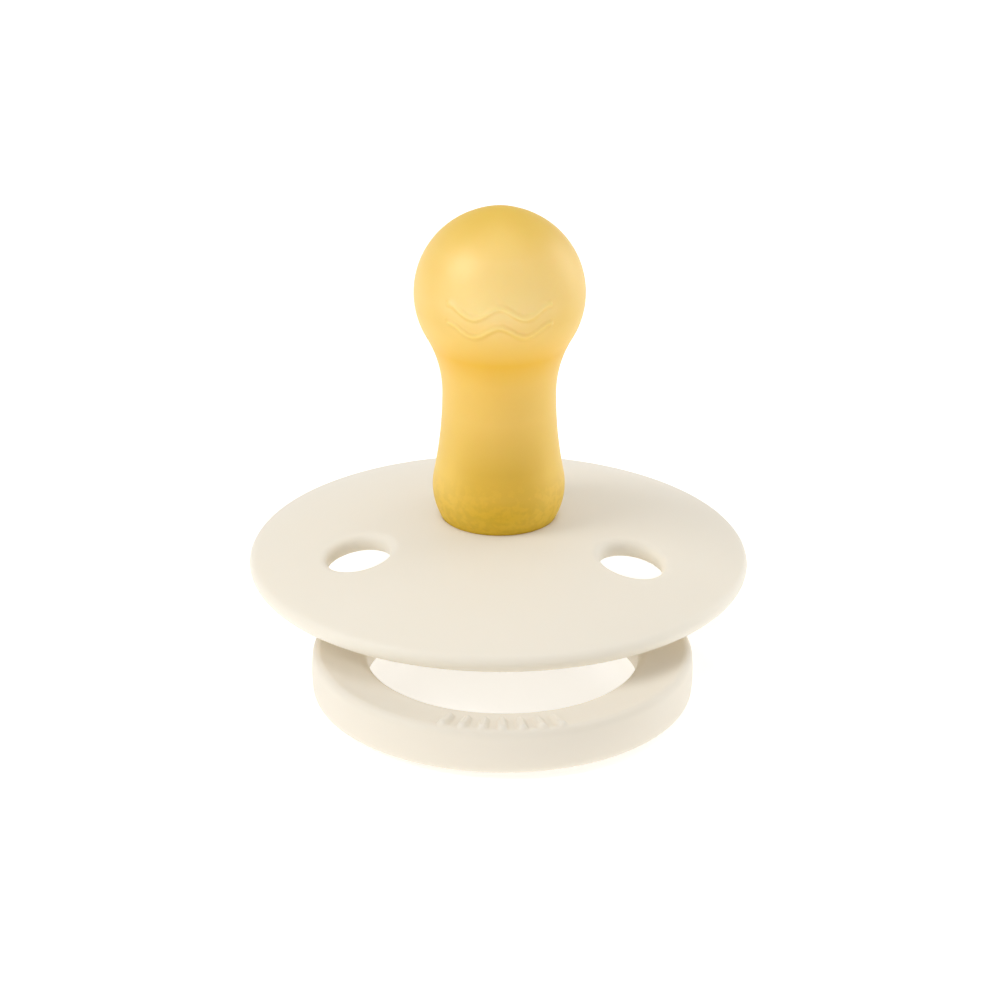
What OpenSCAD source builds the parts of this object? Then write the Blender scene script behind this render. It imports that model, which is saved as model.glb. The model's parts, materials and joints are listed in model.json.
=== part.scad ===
// Baby pacifier: a hollow latex teat, a domed shield with three vents, a plug that clamps the
// teat's collar, a round knob at the back, and a ring handle that swings in the knob.
// The origin is the centre of the knob's flat back. +Z points to the teat's tip, and the ring
// lies towards -Y at rest.

/* [Shield] */
// Outside diameter of the shield
shield_d = 44; // [43.5:0.5:50]
// Thickness of the shield, which its half-round rim closes
shield_t = 1.7; // [1.4:0.1:2]
// Height of the rim's middle above the knob's back
rim_z = 7; // [6.9:0.1:7.4]
// Rise of the shield from the rim's middle to the crown's middle
dome_rise = 3.6; // [3.4:0.1:3.8]
// Radius of the gentle curve around the teat
crown_r = 90; // [80:5:120]
// Distance from the axis where the steeper outer curve begins
crown_reach = 10; // [9:0.5:11]

/* [Vents] */
// Number of vent holes, evenly spaced
vent_count = 3; // [2:1:3]
// Diameter of a vent hole
vent_d = 5.4; // [5:0.2:6]
// Distance from the axis to a vent's centre
vent_reach = 13.6; // [12.5:0.1:15]
// Turn of the vents from the ring's line, in degrees
vent_turn = -2.4; // [-30:0.1:30]

/* [Teat] */
// Radius of the round tip
bulb_r = 7.4; // [7:0.05:8]
// Height of the tip's centre
bulb_z = 31.9; // [30:0.05:34]
// Radius of the waist
neck_r = 4.95; // [4.6:0.05:5.2]
// Height of the waist
neck_z = 22.75; // [21.5:0.05:23.5]
// Radius of the swelling above the shield
base_r = 5.8; // [5.6:0.05:6]
// Height of the swelling's centre
base_z = 14.15; // [14:0.05:14.3]
// Wall thickness of the latex
teat_wall = 1.2; // [1:0.1:1.3]

/* [Clamp] */
// Radius of the shield's bore, which the teat's base passes through
bore_r = 4.7; // [4.6:0.1:4.8]
// Radius of the teat's collar and of the plug's flange
collar_r = 5.4; // [5.2:0.1:5.5]
// Thickness of the teat's collar
collar_t = 1.2; // [1:0.1:1.4]
// Thickness of the plug's flange
flange_t = 1.4; // [1.2:0.1:1.6]
// Diameter of the air channel through the plug
air_d = 1.5; // [1:0.1:2]

/* [Knob] */
// Diameter of the knob
knob_d = 14; // [13.6:0.2:14.4]
// Rounding of the knob's back edge
knob_round = 1.6; // [1:0.1:2]

/* [Ring] */
// Outside radius of the ring handle
ring_r = 16.3; // [16:0.1:17]
// Width of the ring, seen from above
ring_w = 4.8; // [4.4:0.1:5]
// Thickness of the ring
ring_t = 3.9; // [3.6:0.1:4]
// Rounding of the ring's corners
ring_round = 0.7; // [0.5:0.1:1]
// Depth of the hollow along the ring's two flat faces
ring_dish = 0.2; // [0.1:0.05:0.3]
// Distance from the hinge to the ring's centre
ring_reach = 12.8; // [12.6:0.1:13]
// Height of the hinge
hinge_z = 2.5; // [2.4:0.1:2.6]
// Diameter of the ring's hinge bar
bar_d = 3; // [2.6:0.1:3]
// Radial clearance around the hinge bar
hinge_gap = 0.05; // [0.02:0.01:0.1]
// Play between the knob and the ring on each side
side_gap = 0.45; // [0.3:0.05:0.6]
// How far the ring has slid along its hinge within that play
ring_slide = 0.4; // [0:0.05:0.4]
// Number of raised grip ribs across the ring's front
rib_count = 7; // [3:2:9]

/* [Hidden] */
$fn = 128;

far = 100;              // longer than anything in the part, for half planes
fit_gap = 0.02;         // gap between parts that seat on each other
lap = 0.05;             // overlap where two shapes join into one
snap_r = 0.25;          // bead that snaps the plug into the knob
bar_grip = 0.3;         // length of the bar's end that is inside the ring
key_w = bar_d;          // width of the plug's keys, which fill the knob's slots
rib_r = 0.5;            // radius of a rib, of which only the top shows
rib_h = 0.25;           // height of a rib above the hollow
rib_l = 2.4;            // length of a rib across the ring
rib_step = 6.2;         // angle between ribs, seen from the ring's centre

// Shield: both curves of its middle surface meet at the shoulder with one tangent
rim_r = shield_d / 2 - shield_t / 2;
crown_tilt = asin(crown_reach / crown_r);
crown_drop = crown_r * (1 - cos(crown_tilt));
skirt_run = rim_r - crown_reach;
skirt_drop = dome_rise - crown_drop;
skirt_r = (pow(skirt_run, 2) + pow(skirt_drop, 2))
    / (2 * (skirt_drop * cos(crown_tilt) - skirt_run * sin(crown_tilt)));
crown_center = [0, rim_z + dome_rise - crown_r];
skirt_center = crown_center + (crown_r - skirt_r) * [sin(crown_tilt), cos(crown_tilt)];
rim_tilt = atan2(rim_r - skirt_center.x, rim_z - skirt_center.y);

// Clamp: the shield's flat land, then the teat's collar, then the plug's flange
land_z = rim_z + dome_rise - shield_t / 2 - 0.35;
land_r = knob_d / 2;
collar_z = land_z - fit_gap - collar_t;
flange_z = collar_z - fit_gap - flange_t;
core_r = bore_r - fit_gap - teat_wall;
core_z = base_z - sqrt(pow(base_r - teat_wall, 2) - pow(core_r, 2));
stem_r = core_r + 0.5;
cavity_r = collar_r + fit_gap;
pocket_r = bar_d / 2 + hinge_gap;

// Teat: hollow curves that touch the tip and the swelling from outside
shoulder_r = hollow_r(bulb_r, bulb_z - neck_z);
flare_r = hollow_r(base_r, neck_z - base_z);

// Radius of the arc that leaves the waist upright and touches a circle of radius r at height h
function hollow_r(r, h) = (h * h + neck_r * neck_r - r * r) / (2 * (r - neck_r));

module half_disc(r, center) {
    intersection() {
        translate(center) circle(r);
        translate([0, -far]) square([far, 2 * far]);
    }
}

// One side of the waist, from its narrowest height to the circle it flows into
module waist(end_r, end_z, arc_r, inset) {
    share = (end_r - inset) / (end_r + arc_r);
    touch = [share * (neck_r + arc_r), end_z + share * (neck_z - end_z)];
    difference() {
        translate([0, min(neck_z, touch.y) - lap])
            square([touch.x, abs(neck_z - touch.y) + 2 * lap]);
        translate([neck_r + arc_r, neck_z]) circle(arc_r + inset);
    }
}

// Half outline of the teat, moved inwards by inset
module teat_outline(inset) {
    half_disc(bulb_r - inset, [0, bulb_z]);
    half_disc(base_r - inset, [0, base_z]);
    waist(bulb_r, bulb_z, shoulder_r, inset);
    waist(base_r, base_z, flare_r, inset);
}

module teat() {
    color([0.95, 0.76, 0.36])
    rotate_extrude() {
        difference() {
            union() {
                teat_outline(0);
                translate([0, collar_z]) square([bore_r - fit_gap, base_z - collar_z]);
            }
            teat_outline(teat_wall);
            translate([0, collar_z - 1]) square([core_r + fit_gap, core_z - collar_z + 1]);
        }
        translate([core_r + fit_gap, collar_z])
            square([collar_r - core_r - fit_gap, collar_t]);
    }
}

// Everything under the shield's middle surface moved outwards by shift
module dome(shift) {
    half_disc(skirt_r + shift, skirt_center);
    intersection() {
        half_disc(crown_r + shift, crown_center);
        translate([0, -far])
            square([crown_reach + shift * sin(crown_tilt), 2 * far]);
    }
}

// Half section of the shield, with a half-round rim and a flat land for the collar and knob
module shield_outline() {
    intersection() {
        difference() {
            dome(shield_t / 2);
            dome(-shield_t / 2);
        }
        polygon([
            [0, skirt_center.y],
            skirt_center,
            skirt_center + far * [sin(rim_tilt), cos(rim_tilt)],
            [0, skirt_center.y + far],
        ]);
    }
    translate([rim_r, rim_z]) circle(shield_t / 2);
    translate([0, land_z]) square([land_r, shield_t]);
}

module shield() {
    color([0.94, 0.90, 0.83])
    difference() {
        rotate_extrude() shield_outline();
        cylinder(h = far, r = bore_r);
        translate([0, 0, base_z]) sphere(base_r + fit_gap);
        for (i = [0 : vent_count - 1])
            rotate(90 + vent_turn + i * 360 / vent_count) translate([vent_reach, 0, 0])
                cylinder(h = far, d = vent_d);
    }
}

// A bar-shaped space along the hinge
module hinge_rod(r, length) {
    translate([-length / 2, 0, hinge_z]) rotate([0, 90, 0]) cylinder(h = length, r = r);
}

module snap_bead(r) {
    rotate_extrude() translate([collar_r, flange_z + flange_t / 2]) circle(r, $fn = 32);
}

// Two keys that fill the knob's slots above the hinge bar
module plug_keys() {
    difference() {
        intersection() {
            translate([-far / 2, -key_w / 2, hinge_z])
                cube([far, key_w, land_z - fit_gap - hinge_z]);
            cylinder(h = far, d = knob_d - 4 * fit_gap);
        }
        translate([0, 0, collar_z - fit_gap]) cylinder(h = far, r = cavity_r);
    }
}

module plug() {
    color([0.92, 0.88, 0.81])
    difference() {
        union() {
            translate([0, 0, hinge_z + fit_gap])
                cylinder(h = core_z - hinge_z - fit_gap, r = core_r);
            translate([0, 0, hinge_z + fit_gap])
                cylinder(h = flange_z - hinge_z, r = stem_r);
            translate([0, 0, flange_z]) cylinder(h = flange_t, r = collar_r);
            snap_bead(snap_r);
            plug_keys();
        }
        hinge_rod(pocket_r, far);
        cylinder(h = far, d = air_d);
    }
}

module knob() {
    slot_w = key_w + 2 * hinge_gap;
    color([0.94, 0.90, 0.83])
    difference() {
        rotate_extrude() {
            square([knob_d / 2 - knob_round, land_z - fit_gap]);
            translate([0, knob_round]) square([knob_d / 2, land_z - fit_gap - knob_round]);
            translate([knob_d / 2 - knob_round, knob_round]) circle(knob_round);
        }
        translate([0, 0, hinge_z]) cylinder(h = far, r = stem_r + fit_gap);
        translate([0, 0, flange_z - fit_gap]) cylinder(h = far, r = cavity_r);
        snap_bead(snap_r + fit_gap);
        hinge_rod(pocket_r, far);
        translate([-far / 2, -slot_w / 2, hinge_z]) cube([far, slot_w, far]);
    }
}

// Section of the ring, with its own middle at the origin and a hollow in both flat faces
module ring_section() {
    flat_w = ring_w - 2 * ring_round;
    flat_t = ring_t - 2 * ring_round;
    dish_r = (pow(flat_w / 2, 2) + pow(ring_dish, 2)) / (2 * ring_dish);
    difference() {
        union() {
            square([ring_w, flat_t], center = true);
            square([flat_w, ring_t], center = true);
            for (x = [-1, 1], y = [-1, 1])
                translate([x * flat_w / 2, y * flat_t / 2]) circle(ring_round);
        }
        for (y = [-1, 1])
            translate([0, y * (ring_t / 2 - ring_dish + dish_r)]) circle(dish_r);
    }
}

module rib() {
    translate([-rib_l / 2, 0, ring_t / 2 - ring_dish + rib_h - rib_r])
        rotate([0, 90, 0]) cylinder(h = rib_l, r = rib_r, $fn = 32);
}

module ring() {
    gap_w = knob_d + 2 * side_gap;
    color([0.94, 0.90, 0.83])
    translate([ring_slide, 0, 0]) {
        difference() {
            translate([0, -ring_reach, hinge_z])
                rotate_extrude() translate([ring_r - ring_w / 2, 0]) ring_section();
            translate([-gap_w / 2, -ring_reach, 0]) cube([gap_w, far, far]);
        }
        hinge_rod(bar_d / 2, gap_w + 2 * bar_grip);
        for (i = [0 : rib_count - 1])
            translate([0, -ring_reach, hinge_z])
                rotate(-90 + (i - (rib_count - 1) / 2) * rib_step)
                    translate([ring_r - ring_w / 2, 0, 0]) rib();
    }
}

teat();
shield();
plug();
knob();
ring();
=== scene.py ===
import json
import math

import bmesh
import bpy
import numpy as np
from mathutils import Matrix, Vector


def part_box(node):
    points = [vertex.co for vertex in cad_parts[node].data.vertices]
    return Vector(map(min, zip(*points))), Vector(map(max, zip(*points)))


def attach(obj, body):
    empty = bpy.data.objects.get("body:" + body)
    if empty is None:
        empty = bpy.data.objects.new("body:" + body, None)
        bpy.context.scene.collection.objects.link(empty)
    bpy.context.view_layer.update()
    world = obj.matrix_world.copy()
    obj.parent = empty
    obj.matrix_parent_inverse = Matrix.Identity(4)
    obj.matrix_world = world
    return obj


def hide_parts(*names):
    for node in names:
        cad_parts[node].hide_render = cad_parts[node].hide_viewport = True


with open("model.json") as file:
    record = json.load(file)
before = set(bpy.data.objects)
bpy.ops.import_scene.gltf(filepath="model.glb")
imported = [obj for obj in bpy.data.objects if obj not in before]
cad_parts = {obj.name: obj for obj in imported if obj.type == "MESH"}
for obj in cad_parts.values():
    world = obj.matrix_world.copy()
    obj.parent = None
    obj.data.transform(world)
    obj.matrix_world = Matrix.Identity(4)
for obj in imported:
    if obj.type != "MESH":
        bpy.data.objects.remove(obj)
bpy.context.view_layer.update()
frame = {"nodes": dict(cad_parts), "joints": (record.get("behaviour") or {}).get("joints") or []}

MM = 0.001

# Sizes are in millimetres and angles in degrees. These are the ones that the CAD boxes don't give.

# Shield: its wall, the two arcs of its dome, its vents and the land that the teat's collar meets
SHIELD_T = 1.7
DOME_RISE = 3.6
CROWN_R = 90.0
CROWN_REACH = 10.0
VENT_R = 2.7
VENT_REACH = 13.6
VENT_ANGLES = (87.6, 207.6, 327.6)
VENT_LIP = 0.8
LAND_DROP = 0.35
BORE_R = 4.7
FIT_GAP = 0.02

# Teat: waist, swelling, wall and the collar under the shield
NECK_R = 4.95
NECK_Z = 22.75
BASE_R = 5.8
BASE_Z = 14.15
TEAT_WALL = 1.2
COLLAR_R = 5.4
COLLAR_T = 1.2
COLLAR_LIP = 0.3

# Nub on the tip, and the two moulded waves on its front
NUB_H = 0.22
NUB_R = 1.8
MARK_HALF = 4.6
MARK_TURNS = 2
MARK_Z = 31.7
MARK_GAP = 1.7
MARK_RISE = 0.5
MARK_W = 0.32
MARK_H = 0.16

# Ring: section, place, grip ribs and the joins with its bar
RING_W = 4.8
RING_REACH = 12.8
RIB_STEP = 6.2
RIB_SIDE = 3
RIB_HALF = 0.95
RIB_SHIFT = 0.5
RIB_W = 0.44
RIB_H = 0.36
BAR_R = 1.5
SIDE_GAP = 0.45
END_LIP = 0.3
BAR_ROOT = 0.25

# Fineness of the meshes. A vent's block reaches that many cells round and out from its centre.
TEAT_SIDES = 360
SHIELD_SIDES = 240
SHIELD_LOOPS = 42
VENT_CELLS = (17, 12)
RING_SIDES = 96
RING_STEPS = 640


def box_mm(node):
    low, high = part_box(node)
    return np.array(low) / MM, np.array(high) / MM


teat_high = box_mm("teat")[1]
shield_low, shield_high = box_mm("shield")
ring_low, ring_high = box_mm("ring")
knob_high = box_mm("knob")[1]

SHIELD_R = shield_high[0]
RIM_Z = shield_low[2] + SHIELD_T / 2
RIM_R = SHIELD_R - SHIELD_T / 2
CROWN_Z = RIM_Z + DOME_RISE
LAND_Z = CROWN_Z - SHIELD_T / 2 - LAND_DROP
TIP_Z = teat_high[2]
BULB_R = teat_high[0]
BULB_Z = TIP_Z - BULB_R
RING_R = (ring_high[0] - ring_low[0]) / 2
RING_X = (ring_high[0] + ring_low[0]) / 2
RING_MID_R = RING_R - RING_W / 2
HINGE_Z = frame["joints"][0]["pos_m"][2] / MM
RING_T = 2 * (HINGE_Z - ring_low[2])
KNOB_R = knob_high[1]

# Latex: colours by height, its own amber with painted shade under the shoulder and low down and a
# painted highlight on the bulb, the colours towards the outline, which are painted light and
# shade, and their share there, the heights between which the dark specks fade, and the colours of
# its glow, bounce and sheen
LATEX_COLOUR_AND_PAINTED_LIGHT_STOPS = (
    (11.6, (0.58, 0.37, 0.0)),
    (13.2, (0.63, 0.40, 0.01)),
    (14.8, (0.72, 0.46, 0.05)),
    (17.0, (0.69, 0.44, 0.05)),
    (21.5, (0.83, 0.545, 0.105)),
    (25.0, (0.84, 0.53, 0.075)),
    (27.4, (0.83, 0.475, 0.01)),
    (29.8, (0.91, 0.60, 0.13)),
    (32.5, (0.95, 0.71, 0.28)),
    (36.5, (0.92, 0.66, 0.22)),
    (39.2, (0.82, 0.54, 0.03)),
)
# Towards the outline: brighter sides round a painted shade of the bore in the middle of the neck,
# and darker edges round the bulb
EDGE_PAINTED_LIGHT_STOPS = ((24.0, (0.83, 0.57, 0.12)), (31.0, (0.78, 0.52, 0.09)))
EDGE_PAINTED_LIGHT_SHARES = ((11.6, 0.3), (16.0, 0.95), (21.5, 0.5), (27.2, 0.0), (31.0, 0.8), (37.0, 0.5))
SPECK_FADE = (11.6, 16.5)
LATEX_GLOW = (1.0, 0.6, 0.08)
LATEX_BOUNCE = (0.85, 0.74, 0.56)
LATEX_SHEEN = (1.0, 0.93, 0.82)

# Lights: name, direction from the object, distance and size in metres, power in watts
LIGHTS = (
    ("key", (-0.72, -0.27, 0.66), 0.55, 0.28, 0.95),
    ("fill", (0.85, 0.4, 0.25), 0.55, 0.4, 0.8),
    ("top", (0.0, 0.05, 1.0), 0.6, 0.5, 0.86),
)
LIGHT_AIM = (0, 0, 18)
SKY_LIGHT = 0.5

# Floor: half its width, and its glow, which rises between two distances in metres
FLOOR_HALF = 3000
FLOOR_FADE = (0.25, 0.5)
FLOOR_GLOW = (0.42, 0.56)

# Camera
ELEVATION = 23.45
ROLL = 0.31
CAMERA_AIM = (0.118, 0, RIM_Z + 5.469)
CAMERA_AWAY = 300
LENS = 122.7
SENSOR = 36


# ---------------------------------------------------------------- mesh helpers

class Mesh:
    """Vertices in millimetres and faces, gathered loop by loop."""

    def __init__(self):
        self.verts = []
        self.faces = []

    def add(self, points):
        """A loop of new vertices, as their numbers."""
        first = len(self.verts)
        self.verts.extend(np.asarray(points).tolist())
        return list(range(first, len(self.verts)))

    def circle(self, r, z, count):
        turn = np.arange(count) * 2 * math.pi / count
        return self.add(np.stack([r * np.cos(turn), r * np.sin(turn), np.full(count, z)], 1))

    def join(self, loops):
        """Faces between each loop and the next. A loop of one point closes the surface."""
        for a, b in zip(loops, loops[1:]):
            n = max(len(a), len(b))
            for i in range(n):
                j = (i + 1) % n
                corners = (a[i % len(a)], a[j % len(a)], b[j % len(b)], b[i % len(b)])
                self.faces.append(tuple(dict.fromkeys(corners)))

    def build(self, name):
        """A smooth object without loose points, with its faces turned outwards."""
        data = bpy.data.meshes.new(name)
        data.from_pydata((np.array(self.verts) * MM).tolist(), [], self.faces)
        whole = bmesh.new()
        whole.from_mesh(data)
        loose = [v for v in whole.verts if not v.link_faces]
        bmesh.ops.delete(whole, geom=loose, context="VERTS")
        bmesh.ops.recalc_face_normals(whole, faces=whole.faces)
        whole.to_mesh(data)
        whole.free()
        data.polygons.foreach_set("use_smooth", [True] * len(data.polygons))
        data.update()
        obj = bpy.data.objects.new(name, data)
        bpy.context.scene.collection.objects.link(obj)
        return obj


def arc(center, radius, start, end, count):
    """Points along an arc from one angle to another."""
    turn = np.radians(np.linspace(start, end, count))
    return np.stack([center[0] + radius * np.cos(turn), center[1] + radius * np.sin(turn)], 1)


def chain(arcs):
    """Points along arcs that follow each other with one tangent, from (radius, from, to): the
    angles are those of the outward normal, and a negative radius is a hollow."""
    points = [np.zeros(2)]
    for radius, start, end in arcs:
        way = arc((0, 0), radius, start, end, 16)
        points.extend(points[-1] + way[1:] - way[0])
    return np.array(points)


def lengths(points):
    """Distance along an outline at each of its points."""
    return np.r_[0, np.cumsum(np.linalg.norm(np.diff(points, axis=0), axis=1))]


def along(points, at):
    """Points of an outline at the given distances along it."""
    run = lengths(points)
    return np.stack([np.interp(at, run, points[:, k]) for k in range(2)], 1)


def resample(points, step):
    """The same outline with points at an even step."""
    run = lengths(points)
    points = points[np.r_[True, np.diff(run) > 1e-6]]
    return along(points, np.linspace(0, run[-1], max(2, round(run[-1] / step) + 1)))


def smoothstep(start, end, x):
    t = np.clip((x - start) / (end - start), 0, 1)
    return t * t * (3 - 2 * t)


# ---------------------------------------------------------------- teat

def hollow_r(r, h):
    """Radius of the arc that leaves the waist upright and touches a circle of radius r."""
    return (h * h + NECK_R ** 2 - r * r) / (2 * (r - NECK_R))


def teat_side(inset, end_r):
    """Half outline of the teat, moved in by inset, from the tip down to where it is end_r wide."""
    shoulder_r = hollow_r(BULB_R, BULB_Z - NECK_Z)
    flare_r = hollow_r(BASE_R, NECK_Z - BASE_Z)
    up = math.degrees(math.asin((BULB_Z - NECK_Z) / (BULB_R + shoulder_r)))
    down = math.degrees(math.asin((NECK_Z - BASE_Z) / (BASE_R + flare_r)))
    side = np.concatenate([
        arc((0, BULB_Z), BULB_R - inset, 90, -up, 160),
        arc((NECK_R + shoulder_r, NECK_Z), shoulder_r + inset, 180 - up, 180, 60)[1:],
        arc((NECK_R + flare_r, NECK_Z), flare_r + inset, 180, 180 + down, 60)[1:],
        arc((0, BASE_Z), BASE_R - inset, down, -60, 80)[1:],
    ])
    inside = (side[:, 1] < BASE_Z) & (side[:, 0] < end_r)
    return side[:np.argmax(inside)] if inside.any() else side


def wave_mark(turn, z):
    """Height of the two faint moulded waves on the front of the tip."""
    run = (turn + math.pi / 2) * BULB_R
    wave = np.linspace(-MARK_HALF, MARK_HALF, 400)
    rise = MARK_RISE * np.cos(wave * math.pi * MARK_TURNS / MARK_HALF)
    away = np.min([np.hypot(run[:, None] - wave, z - MARK_Z - side * MARK_GAP / 2 - rise).min(1)
                   for side in (-1, 1)], axis=0)
    return MARK_H * smoothstep(MARK_W, MARK_W * 0.3, away)


def make_teat():
    collar_z = LAND_Z - FIT_GAP - COLLAR_T
    tube_r = BORE_R - FIT_GAP
    core_r = tube_r - TEAT_WALL + FIT_GAP
    outer = teat_side(0, tube_r)
    outer[:, 1] += NUB_H * np.exp(-(outer[:, 0] / NUB_R) ** 2) * (outer[:, 1] > BULB_Z)
    outer = resample(outer, 0.16)
    lip_r = COLLAR_R - COLLAR_LIP
    below = np.concatenate([
        outer[-1:],
        [[tube_r, LAND_Z + 0.2], [tube_r, LAND_Z - FIT_GAP]],
        arc((lip_r, LAND_Z - FIT_GAP - COLLAR_LIP), COLLAR_LIP, 90, 0, 6),
        arc((lip_r, collar_z + COLLAR_LIP), COLLAR_LIP, 0, -90, 6),
        [[core_r, collar_z]],
    ])
    inner = np.concatenate([below[-1:], teat_side(TEAT_WALL, core_r)[::-1]])
    outline = np.concatenate([outer, resample(below, 0.3)[1:], resample(inner, 0.4)[1:]])

    mesh = Mesh()
    turn = np.arange(TEAT_SIDES) * 2 * math.pi / TEAT_SIDES - math.pi * 1.5
    loops = []
    for k, (r, z) in enumerate(outline):
        if r < 1e-4:
            loops.append(mesh.add([[0, 0, z]]))
            continue
        marked = k < len(outer) and abs(z - MARK_Z) < MARK_GAP
        reach = r + (wave_mark(turn, z) if marked else 0)
        loops.append(mesh.add(np.stack([reach * np.cos(turn), reach * np.sin(turn),
                                        np.full(TEAT_SIDES, z)], 1)))
    mesh.join(loops)
    return mesh.build("teat_latex")


# ---------------------------------------------------------------- shield

def dome_arcs():
    """The crown's tilt where it ends, both arcs' centres and the radius of the outer one."""
    tilt = math.asin(CROWN_REACH / CROWN_R)
    run = RIM_R - CROWN_REACH
    drop = DOME_RISE - CROWN_R * (1 - math.cos(tilt))
    skirt_r = (run ** 2 + drop ** 2) / (2 * (drop * math.cos(tilt) - run * math.sin(tilt)))
    crown = np.array([0, CROWN_Z - CROWN_R])
    skirt = crown + (CROWN_R - skirt_r) * np.array([math.sin(tilt), math.cos(tilt)])
    return tilt, crown, skirt, skirt_r


def dome_height(r, shift):
    """Height of the shield's middle surface, moved outwards by shift, at radius r."""
    tilt, crown, skirt, skirt_r = dome_arcs()
    join = CROWN_REACH + shift * math.sin(tilt)
    top = crown[1] + np.sqrt((CROWN_R + shift) ** 2 - r ** 2)
    side = skirt[1] + np.sqrt(np.maximum((skirt_r + shift) ** 2 - (r - skirt[0]) ** 2, 0))
    return np.where(r < join, top, side)


def on_dome(flat, shift):
    """Points of the moved surface that stand over flat points."""
    return np.column_stack([flat, dome_height(np.linalg.norm(flat, axis=1), shift)])


def vent_loops(mesh, sheet, edge, center, shift):
    """Loops from the edge of a vent's block of cells in to the middle of the vent's wall."""
    first = [sheet[k][i % SHIELD_SIDES] for i, k in edge]
    flat = np.array([mesh.verts[v][:2] for v in first])
    away = flat - center
    way = away / np.linalg.norm(away, axis=1, keepdims=True)
    loops = [first]
    for share in np.linspace(0, 1, 9)[1:] ** 0.85:
        at = flat * (1 - share) + (center + (VENT_R + VENT_LIP) * way) * share
        loops.append(mesh.add(on_dome(at, shift)))
    for a in np.radians(np.linspace(0, 90, 9)[1:]):
        at = center + (VENT_R + VENT_LIP * (1 - math.sin(a))) * way
        dip = math.copysign(VENT_LIP * (1 - math.cos(a)), shift)
        loops.append(mesh.add(on_dome(at, shift) - [0, 0, dip]))
    return loops


def open_vent(mesh, top, top_rs, bottom, vent):
    """The wall and soft lips of one vent. Returns the cells of both sheets that give way to it."""
    i = round(vent / 360 * SHIELD_SIDES)
    k = int(np.argmin(np.abs(top_rs - VENT_REACH)))
    i0, i1 = i - VENT_CELLS[0], i + VENT_CELLS[0]
    k0, k1 = k - VENT_CELLS[1], k + VENT_CELLS[1]
    edge = ([(i, k0) for i in range(i0, i1)] + [(i1, k) for k in range(k0, k1)]
            + [(i, k1) for i in range(i1, i0, -1)] + [(i0, k) for k in range(k1, k0, -1)])
    turn = math.radians(vent)
    center = VENT_REACH * np.array([math.cos(turn), math.sin(turn)])
    down = vent_loops(mesh, top, edge, center, SHIELD_T / 2)
    up = vent_loops(mesh, bottom, edge, center, -SHIELD_T / 2)
    mesh.join(down + up[::-1])
    return {(i % SHIELD_SIDES, k) for i in range(i0, i1) for k in range(k0, k1)}


def make_shield():
    """Polar sheets above and below, joined round the rim, the bore and the vents."""
    mesh = Mesh()
    half = SHIELD_T / 2
    skirt = dome_arcs()[2]
    rim_tilt = math.atan2(RIM_R - skirt[0], RIM_Z - skirt[1])

    def circle(r, z):
        return mesh.circle(r, float(z), SHIELD_SIDES)

    top_out = RIM_R + half * math.sin(rim_tilt)
    bottom_out = RIM_R - half * math.sin(rim_tilt)
    top_rs = np.linspace(BORE_R + 0.5, top_out, SHIELD_LOOPS)
    bottom_rs = top_rs * bottom_out / top_out
    top = [circle(r, dome_height(r, half)) for r in top_rs]
    bottom = [circle(r, dome_height(r, -half)) for r in bottom_rs]

    rim = [circle(RIM_R + half * math.sin(a), RIM_Z + half * math.cos(a))
           for a in np.linspace(rim_tilt, rim_tilt + math.pi, 18)[1:-1]]
    mesh.join([top[-1]] + rim + [bottom[-1]])

    # The round seat under the teat, the bore, and the flat land that ends at the knob's edge
    seat_r = BASE_R + FIT_GAP
    seat_top = dome_height(BORE_R + 0.4, half) - 0.03
    seat_end = BASE_Z - math.sqrt(seat_r ** 2 - BORE_R ** 2)
    seat = [circle(math.sqrt(seat_r ** 2 - (BASE_Z - z) ** 2), z)
            for z in np.linspace(seat_top, seat_end, 5)]
    land = [circle(r, LAND_Z) for r in (BORE_R, BORE_R + 1.2, KNOB_R - 0.1, KNOB_R)]
    under = int(np.argmax(bottom_rs > KNOB_R + 0.25))
    mesh.join([top[0]] + seat + land + [bottom[under]])

    opened = set()
    for vent in VENT_ANGLES:
        opened |= open_vent(mesh, top, top_rs, bottom, vent)
    for k in range(SHIELD_LOOPS - 1):
        for i in range(SHIELD_SIDES):
            if (i, k) in opened:
                continue
            j = (i + 1) % SHIELD_SIDES
            mesh.faces.append((top[k][i], top[k + 1][i], top[k + 1][j], top[k][j]))
            if k >= under:
                mesh.faces.append((bottom[k][i], bottom[k][j], bottom[k + 1][j], bottom[k + 1][i]))
    return mesh.build("shield_shell")


# ---------------------------------------------------------------- ring

def ring_section():
    """Even points round a section with a nearly upright wall, a crisp ridge and a dished face."""
    half = chain([(12, 0, 6), (0.6, 6, 105), (-8.6, 105, 85), (0.75, 85, 174), (8.056, 174, 180)])
    half[-1, 1] = 0
    half[:, 0] = (half[:, 0] - half[:, 0].min()) / np.ptp(half[:, 0]) * RING_W - RING_W / 2
    half[:, 1] *= RING_T / 2 / half[:, 1].max()
    outline = np.concatenate([half, half[-2::-1] * [1, -1]])
    return along(outline, np.linspace(0, lengths(outline)[-1], RING_SIDES, endpoint=False))


def rib_mark(across, turn):
    """Height of the raised grip ribs on the ring's face, opposite the hinge."""
    nearest = np.clip(np.round(turn / RIB_STEP), -RIB_SIDE, RIB_SIDE) * RIB_STEP
    aside = np.radians(turn - nearest) * RING_MID_R
    lengthways = np.maximum(np.abs(across - RIB_SHIFT) - RIB_HALF, 0)
    return RIB_H * smoothstep(RIB_W, RIB_W * 0.35, np.hypot(aside, lengthways))


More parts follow.
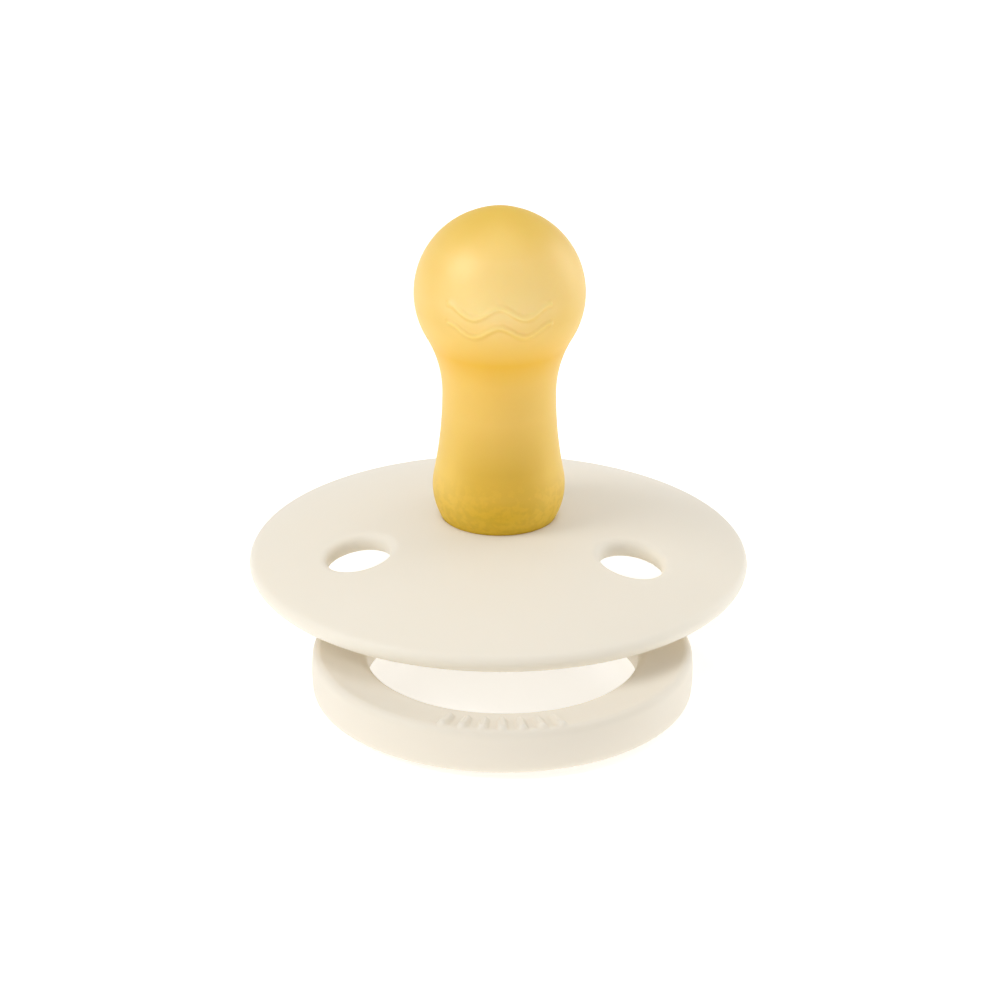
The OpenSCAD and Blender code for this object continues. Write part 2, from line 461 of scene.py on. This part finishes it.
def make_ring():
    """Round sweep from one flat end to the other, and a bar that joins the ends."""
    mesh = Mesh()
    face_x = KNOB_R + SIDE_GAP
    across, height = ring_section().T
    end_y = np.sqrt((RING_MID_R + across) ** 2 - face_x ** 2) - RING_REACH
    bar_turn = np.arctan2(height, end_y)
    # The ribs stand on the upper face only
    upper = smoothstep(0.5, 0.9, height / (RING_T / 2)) * (np.abs(across) < 1.9)

    def sweep(t, lip_turn=math.pi / 2):
        """One section: t runs from the right end round the front to the left end. The lips of
        the ends are rounded by turning lip_turn up from nought."""
        shrink = 1 - END_LIP * (1 - math.sin(lip_turn)) / 2
        inset = END_LIP * (1 - math.cos(lip_turn))
        radius = RING_MID_R + across * shrink
        cut = np.arcsin((face_x + inset) / radius)
        turn = math.pi / 2 - cut - t * (2 * math.pi - 2 * cut)
        ribbed = abs(t - 0.5) < 0.1
        mark = rib_mark(across * shrink, np.degrees(turn) + 90) * upper if ribbed else 0
        return mesh.add(np.stack([RING_X + radius * np.cos(turn),
                                  radius * np.sin(turn) - RING_REACH,
                                  HINGE_Z + height * shrink + mark], 1))

    def bar(x, r):
        """One loop of the bar, in step with the section at that end."""
        return mesh.add(np.stack([np.full(RING_SIDES, RING_X + x), r * np.cos(bar_turn),
                                  HINGE_Z + r * np.sin(bar_turn)], 1))

    # The bar narrows to a root at either end, which stays inside the ring's flat ends
    quarter = np.radians(np.linspace(0, 90, 7))
    roots = [(face_x - BAR_ROOT * math.sin(a), BAR_R - BAR_ROOT * (1 - math.sin(a)))
             for a in quarter]
    loops = [sweep(0, a) for a in quarter[:-1]]
    loops += [sweep(t) for t in np.linspace(0, 1, RING_STEPS)]
    loops += [sweep(1, a) for a in quarter[-2::-1]]
    loops += [bar(-x, r) for x, r in roots]
    loops += [bar(x, BAR_R) for x in np.linspace(1 - face_x, face_x - 1, 9)]
    loops += [bar(x, r) for x, r in roots[::-1]]
    mesh.join(loops + loops[:1])
    return mesh.build("ring_handle")


# ---------------------------------------------------------------- materials

class Nodes:
    """A short way to write the node tree of a material or a world."""

    def __init__(self, owner):
        owner.use_nodes = True
        self.tree = owner.node_tree
        self.tree.nodes.clear()

    def add(self, kind, **values):
        node = self.tree.nodes.new(kind)
        for key, value in values.items():
            if hasattr(node, key) and key not in node.inputs:
                setattr(node, key, value)
            else:
                node.inputs[key].default_value = value
        return node

    def link(self, a, b):
        self.tree.links.new(a, b)

    def noise(self, place, scale, detail):
        noise = self.add("ShaderNodeTexNoise", Scale=scale, Detail=detail)
        self.link(place.outputs["Object"], noise.inputs["Vector"])
        return noise.outputs["Fac"]

    def span(self, value, low, high, to_low, to_high, kind="LINEAR"):
        """The value carried from one range to another."""
        node = self.add("ShaderNodeMapRange", interpolation_type=kind)
        self.link(value, node.inputs["Value"])
        for key, number in (("From Min", low), ("From Max", high),
                            ("To Min", to_low), ("To Max", to_high)):
            node.inputs[key].default_value = number
        return node.outputs["Result"]

    def math(self, operation, a, b):
        node = self.add("ShaderNodeMath", operation=operation)
        self.link(a, node.inputs[0])
        self.link(b, node.inputs[1])
        return node.outputs[0]

    def mix(self, share, a, b):
        """Blend of two colours, each a tuple or a socket."""
        node = self.add("ShaderNodeMix", data_type="RGBA")
        self.link(share, node.inputs[0])
        for slot, colour in ((6, a), (7, b)):
            if isinstance(colour, tuple):
                node.inputs[slot].default_value = (*colour, 1)
            else:
                self.link(colour, node.inputs[slot])
        return node.outputs[2]

    def ramp(self, value, stops):
        """Colour by height on the teat, through the given (height, colour) stops."""
        node = self.add("ShaderNodeValToRGB")
        elements = node.color_ramp.elements
        while len(elements) < len(stops):
            elements.new(0.5)
        for element, (z, colour) in zip(elements, stops):
            element.position = (z - CROWN_Z) / (TIP_Z - CROWN_Z)
            element.color = (*colour, 1)
        self.link(value, node.inputs["Fac"])
        return node.outputs["Color"]

    def bump(self, shader, layers):
        """Bumps on top of each other, from (height, strength, distance)."""
        under = None
        for height, strength, distance in layers:
            node = self.add("ShaderNodeBump", Strength=strength, Distance=distance)
            self.link(height, node.inputs["Height"])
            if under:
                self.link(under.outputs["Normal"], node.inputs["Normal"])
            under = node
        self.link(under.outputs["Normal"], shader.inputs["Normal"])

    def shader(self, **values):
        """The main shader, already joined to the material's output."""
        node = self.add("ShaderNodeBsdfPrincipled")
        for key, value in values.items():
            node.inputs[key.replace("_", " ")].default_value = value
        self.link(node.outputs[0], self.add("ShaderNodeOutputMaterial").inputs["Surface"])
        return node


def plastic(name, colour, pale):
    """Satin moulded plastic with soft colour clouds, a fine spark texture and a little depth."""
    material = bpy.data.materials.new(name)
    n = Nodes(material)
    place = n.add("ShaderNodeTexCoord")
    cloud = n.noise(place, 60, 4)
    shader = n.shader(IOR=1.49, Specular_IOR_Level=0.4, Subsurface_Weight=0.3,
                      Subsurface_Radius=(0.0013, 0.0012, 0.0011), Subsurface_Scale=1.0)
    n.link(n.mix(cloud, colour, pale), shader.inputs["Base Color"])
    n.link(n.span(cloud, 0, 1, 0.44, 0.56), shader.inputs["Roughness"])
    n.bump(shader, [(n.noise(place, 350, 2), 0.25, 0.00004),
                    (n.noise(place, 4200, 2), 0.3, 0.00001)])
    return material


def latex(name):
    """Translucent amber latex: deep colour low down and under the shoulder, partly its own colour
    and partly painted shade, paler on the bulb with a painted highlight, and painted light and
    shade towards the outline, with a satin skin. A faint glow stands for the light that comes
    through the wall, and its bounce on the shield is paler than its colour."""
    material = bpy.data.materials.new(name)
    n = Nodes(material)
    place = n.add("ShaderNodeTexCoord")
    split = n.add("ShaderNodeSeparateXYZ")
    n.link(place.outputs["Object"], split.inputs[0])
    z = split.outputs["Z"]
    height = n.span(z, CROWN_Z * MM, TIP_Z * MM, 0, 1)

    # Painted light and shade towards the outline: the middle of the neck darker as painted shade
    # of the bore seen through the wall, the bulb's edges deeper than its middle
    look = n.add("ShaderNodeLayerWeight", Blend=0.5)
    edge = n.span(look.outputs["Facing"], 0, 0.42, 0, 1, "SMOOTHSTEP")
    share = n.math("MULTIPLY", edge, n.ramp(height, [(at, (v, v, v)) for at, v in EDGE_PAINTED_LIGHT_SHARES]))
    # Colour by height holds painted shade under the shoulder and low down, and a painted highlight
    # on the bulb
    colour = n.mix(share, n.ramp(height, LATEX_COLOUR_AND_PAINTED_LIGHT_STOPS), n.ramp(height, EDGE_PAINTED_LIGHT_STOPS))

    mottle = n.span(n.noise(place, 130, 3), 0, 1, 0.95, 1.05)
    specks = n.span(n.noise(place, 1500, 3), 0.35, 0.6, 0.9, 1, "SMOOTHSTEP")
    clear = n.span(z, SPECK_FADE[0] * MM, SPECK_FADE[1] * MM, 0.85, 1)
    shade = n.add("ShaderNodeVectorMath", operation="SCALE")
    n.link(colour, shade.inputs[0])
    n.link(n.math("MULTIPLY", mottle, n.math("MAXIMUM", specks, clear)), shade.inputs["Scale"])
    path = n.add("ShaderNodeLightPath")
    seen = n.mix(path.outputs["Is Diffuse Ray"], shade.outputs[0], LATEX_BOUNCE)

    shader = n.shader(Roughness=0.46, IOR=1.5, Specular_Tint=(*LATEX_SHEEN, 1),
                      Subsurface_Weight=0.5, Subsurface_Radius=(0.0012, 0.0008, 0.0004),
                      Subsurface_Scale=1.0, Emission_Color=(*LATEX_GLOW, 1),
                      Emission_Strength=0.06)
    n.link(seen, shader.inputs["Base Color"])
    n.link(n.span(height, 0, 0.6, 0.0, 1.0), shader.inputs["Specular IOR Level"])
    n.bump(shader, [(n.noise(place, 900, 3), 0.25, 0.00003)])
    return material


def floor_material():
    """A matt white table, lit a little from below, and more where the lights don't reach."""
    material = bpy.data.materials.new("pale_floor")
    n = Nodes(material)
    shader = n.shader(Roughness=0.9, Base_Color=(0.9, 0.9, 0.9, 1), Emission_Color=(1, 1, 1, 1))
    away = n.add("ShaderNodeVectorMath", operation="LENGTH")
    n.link(n.add("ShaderNodeTexCoord").outputs["Object"], away.inputs[0])
    glow = n.span(away.outputs["Value"], *FLOOR_FADE, *FLOOR_GLOW)
    n.link(glow, shader.inputs["Emission Strength"])
    return material


def dress(obj, material):
    obj.data.materials.clear()
    obj.data.materials.append(material)


# ---------------------------------------------------------------- build

cream = plastic("cream_plastic", (0.88, 0.82, 0.70), (0.90, 0.84, 0.73))
# The ring's cream is about 5 percent darker than the shield's: painted shade for the shield's
# overhang above it
ring_cream_painted_shade = plastic("ring_plastic_painted_shade", (0.835, 0.77, 0.65), (0.855, 0.79, 0.68))
plug_cream = plastic("plug_plastic", (0.84, 0.77, 0.64), (0.86, 0.79, 0.67))

for make, material, body, node, slot in (
    (make_teat, latex("amber_latex"), "soother", "teat", "latex"),
    (make_shield, cream, "soother", "shield", "shield_plastic"),
    (make_ring, ring_cream_painted_shade, "handle", "ring", "shield_plastic"),
):
    piece = make()
    dress(piece, material)
    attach(piece, body)
    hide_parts(node)

dress(frame["nodes"]["knob"], cream)
dress(frame["nodes"]["plug"], plug_cream)


# ---------------------------------------------------------------- stage and camera

def make_floor():
    mesh = Mesh()
    corners = np.array([[-1, -1, 0], [1, -1, 0], [1, 1, 0], [-1, 1, 0]]) * FLOOR_HALF
    mesh.faces.append(tuple(mesh.add(corners)))
    floor = mesh.build("floor")
    dress(floor, floor_material())


def soft_light(name, direction, distance, size, power):
    """A round soft light that shines at the object from the given direction."""
    data = bpy.data.lights.new(name, "AREA")
    data.shape = "DISK"
    data.size = size
    data.energy = power
    way = Vector(direction).normalized()
    light = bpy.data.objects.new(name, data)
    light.location = Vector(LIGHT_AIM) * MM + way * distance
    light.rotation_euler = way.to_track_quat("Z", "Y").to_euler()
    bpy.context.scene.collection.objects.link(light)


def make_sky():
    """White to the camera, and half as strong as light."""
    world = bpy.data.worlds.new("studio")
    bpy.context.scene.world = world
    n = Nodes(world)
    mixed = n.add("ShaderNodeMixShader")
    n.link(n.add("ShaderNodeLightPath").outputs["Is Camera Ray"], mixed.inputs[0])
    for slot, strength in ((1, SKY_LIGHT), (2, 1.0)):
        white = n.add("ShaderNodeBackground", Color=(1, 1, 1, 1), Strength=strength)
        n.link(white.outputs[0], mixed.inputs[slot])
    n.link(mixed.outputs[0], n.add("ShaderNodeOutputWorld").inputs["Surface"])


def make_camera():
    tilt = math.radians(ELEVATION)
    back = Vector((0, -math.cos(tilt), math.sin(tilt)))
    data = bpy.data.cameras.new("camera")
    data.sensor_width = SENSOR
    data.lens = LENS
    data.clip_start = 0.01
    camera = bpy.data.objects.new("camera", data)
    camera.location = (Vector(CAMERA_AIM) + back * CAMERA_AWAY) * MM
    turn = (Matrix.Rotation(math.pi / 2 - tilt, 4, "X")
            @ Matrix.Rotation(math.radians(ROLL), 4, "Z"))
    camera.rotation_euler = turn.to_euler()
    bpy.context.scene.collection.objects.link(camera)
    bpy.context.scene.camera = camera


make_floor()
for light in LIGHTS:
    soft_light(*light)
make_sky()
make_camera()
bpy.context.scene.view_settings.view_transform = "Standard"
